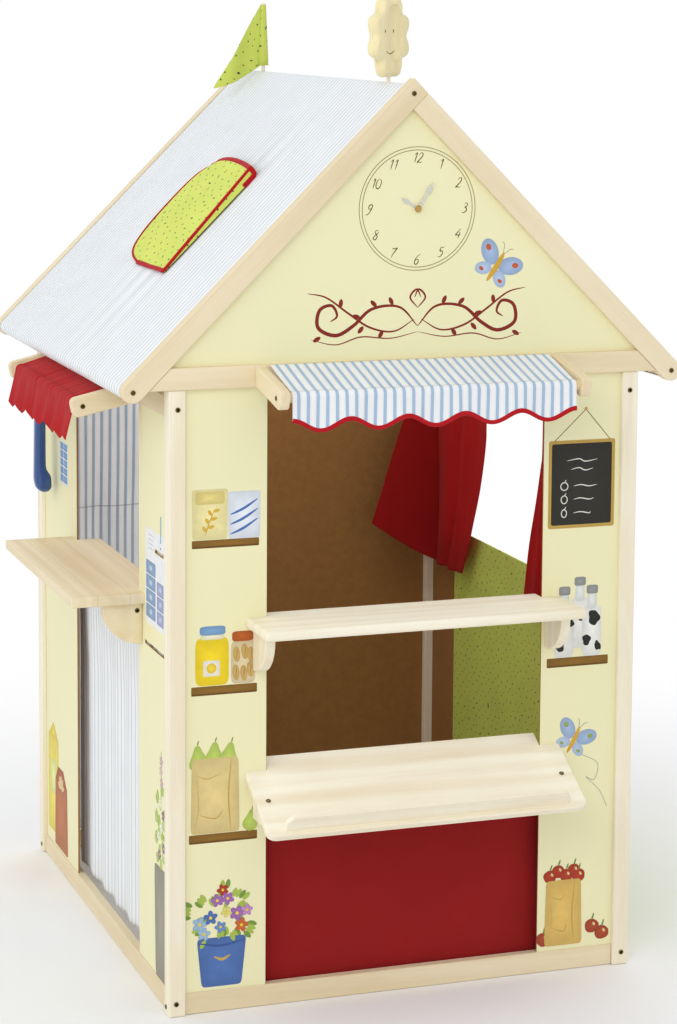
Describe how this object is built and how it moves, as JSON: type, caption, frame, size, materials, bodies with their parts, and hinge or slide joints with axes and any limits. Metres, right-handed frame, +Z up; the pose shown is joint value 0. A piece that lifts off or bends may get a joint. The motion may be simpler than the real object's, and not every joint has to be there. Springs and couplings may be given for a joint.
{
  "type": "play_house",
  "caption": "Wooden play house as a shop and puppet stage, with cloth roof, awnings, counter, shelf, sloping tray, clock, curtains, sun and pennant",
  "frame": {"origin": "centre of the object's box at floor level", "axes": "+Z up, +Y into the house from the shop front, +X to the stage side"},
  "size_m": [1.0832, 1.1414, 1.7601],
  "materials": {
    "pale_wood": "lacquered pine",
    "post_wood": "lacquered pale pine",
    "cream_panel": "printed thin board, satin",
    "pinstripe_cloth": "woven cotton, fine grey-blue stripes",
    "striped_cloth": "woven cotton, blue stripes",
    "red_cloth": "woven cotton, dark red",
    "lime_cloth": "woven cotton, lime with dots",
    "blue_plastic": "moulded, glossy",
    "white_plastic": "moulded, glossy",
    "brass": "turned",
    "bronze": "dark bronze plating"
  },
  "bodies": {
    "house": {"awning_cloth_front": "striped_cloth", "awning_cloth_side": "red_cloth", "awning_frame_front": "pale_wood", "awning_frame_side": "pale_wood", "clock_spindle": "brass", "counter_board": "pale_wood", "counter_bracket_back": "pale_wood", "counter_bracket_front": "pale_wood", "door_rod": "pale_wood", "eave_bar_left": "pale_wood", "eave_bar_right": "pale_wood", "front_cloth": "red_cloth", "front_rod": "pale_wood", "gable_back": "cream_panel", "gable_front": "cream_panel", "handset_hook": "bronze", "panel_back": "cream_panel", "panel_front_left": "cream_panel", "panel_front_right": "cream_panel", "panel_left_back": "cream_panel", "panel_left_front": "cream_panel", "panel_right_back": "cream_panel", "panel_right_front": "cream_panel", "post_back_left": "post_wood", "post_back_right": "post_wood", "post_front_left": "post_wood", "post_front_right": "post_wood", "rafter_back_left": "pale_wood", "rafter_back_right": "pale_wood", "rafter_front_left": "pale_wood", "rafter_front_right": "pale_wood", "rail_back": "pale_wood", "rail_front": "pale_wood", "rail_left": "pale_wood", "rail_right": "pale_wood", "ridge_bar": "pale_wood", "roof_cloth": "pinstripe_cloth", "shelf_board": "post_wood", "shelf_bracket_left": "pale_wood", "shelf_bracket_right": "pale_wood", "side_rod": "pale_wood", "stage_cloth": "lime_cloth", "stage_rod": "pale_wood", "tie_beam_back": "pale_wood", "tie_beam_front": "pale_wood", "top_rail_left": "pale_wood", "top_rail_right": "pale_wood", "tray_board": "post_wood", "tray_prop_left": "pale_wood", "tray_prop_right": "pale_wood"},
    "hour_hand": {"clock_hour_hand": "white_plastic"},
    "minute_hand": {"clock_minute_hand": "white_plastic"},
    "handset_body": {"handset": "blue_plastic"},
    "sun_body": {"sun": "pale_wood"},
    "pennant_body": {"pennant": "lime_cloth"},
    "stage_curtain_front_body": {"stage_curtain_front": "red_cloth"},
    "stage_curtain_back_body": {"stage_curtain_back": "red_cloth"},
    "flap_body": {"roof_window_flap": "lime_cloth"},
    "door_curtain_body": {"door_curtain": "striped_cloth"},
    "side_cloth_body": {"side_cloth": "pinstripe_cloth"}
  },
  "joints": [
    {"name": "hour_hand_turn", "type": "hinge", "parent": "house", "child": "hour_hand", "pos_m": [0.03755, -0.42533, 1.394], "axis": [0, 1, 0], "continuous": true},
    {"name": "minute_hand_turn", "type": "hinge", "parent": "house", "child": "minute_hand", "pos_m": [0.03755, -0.42703, 1.394], "axis": [0, 1, 0], "continuous": true},
    {"name": "handset_lift", "type": "slide", "parent": "house", "child": "handset_body", "axis": [0, 0, 1], "range_m": [0, 0.05]},
    {"name": "sun_turn", "type": "hinge", "parent": "house", "child": "sun_body", "pos_m": [0.02455, -0.30733, 1.591], "axis": [0, 0, 1], "continuous": true},
    {"name": "pennant_turn", "type": "hinge", "parent": "house", "child": "pennant_body", "pos_m": [0.02455, 0.42467, 1.591], "axis": [0, 0, 1], "range_deg": [-40, 40]},
    {"name": "stage_curtain_front_slide", "type": "slide", "parent": "house", "child": "stage_curtain_front_body", "axis": [0, 1, 0], "range_m": [-0.105, 0.065]},
    {"name": "stage_curtain_back_slide", "type": "slide", "parent": "house", "child": "stage_curtain_back_body", "axis": [0, 1, 0], "range_m": [-0.115, 0.058]},
    {"name": "roof_flap_open", "type": "hinge", "parent": "house", "child": "flap_body", "pos_m": [-0.15725, 0.21667, 1.43539], "axis": [-0.7071, 0, -0.7071], "range_deg": [0, 100]},
    {"name": "door_curtain_swing", "type": "hinge", "parent": "house", "child": "door_curtain_body", "pos_m": [0.02455, 0.54467, 1.03], "axis": [-1, 0, 0], "range_deg": [0, 12]},
    {"name": "side_cloth_swing", "type": "hinge", "parent": "house", "child": "side_cloth_body", "pos_m": [-0.38845, 0.06667, 0.672], "axis": [0, -1, 0], "range_deg": [0, 30]}
  ]
}
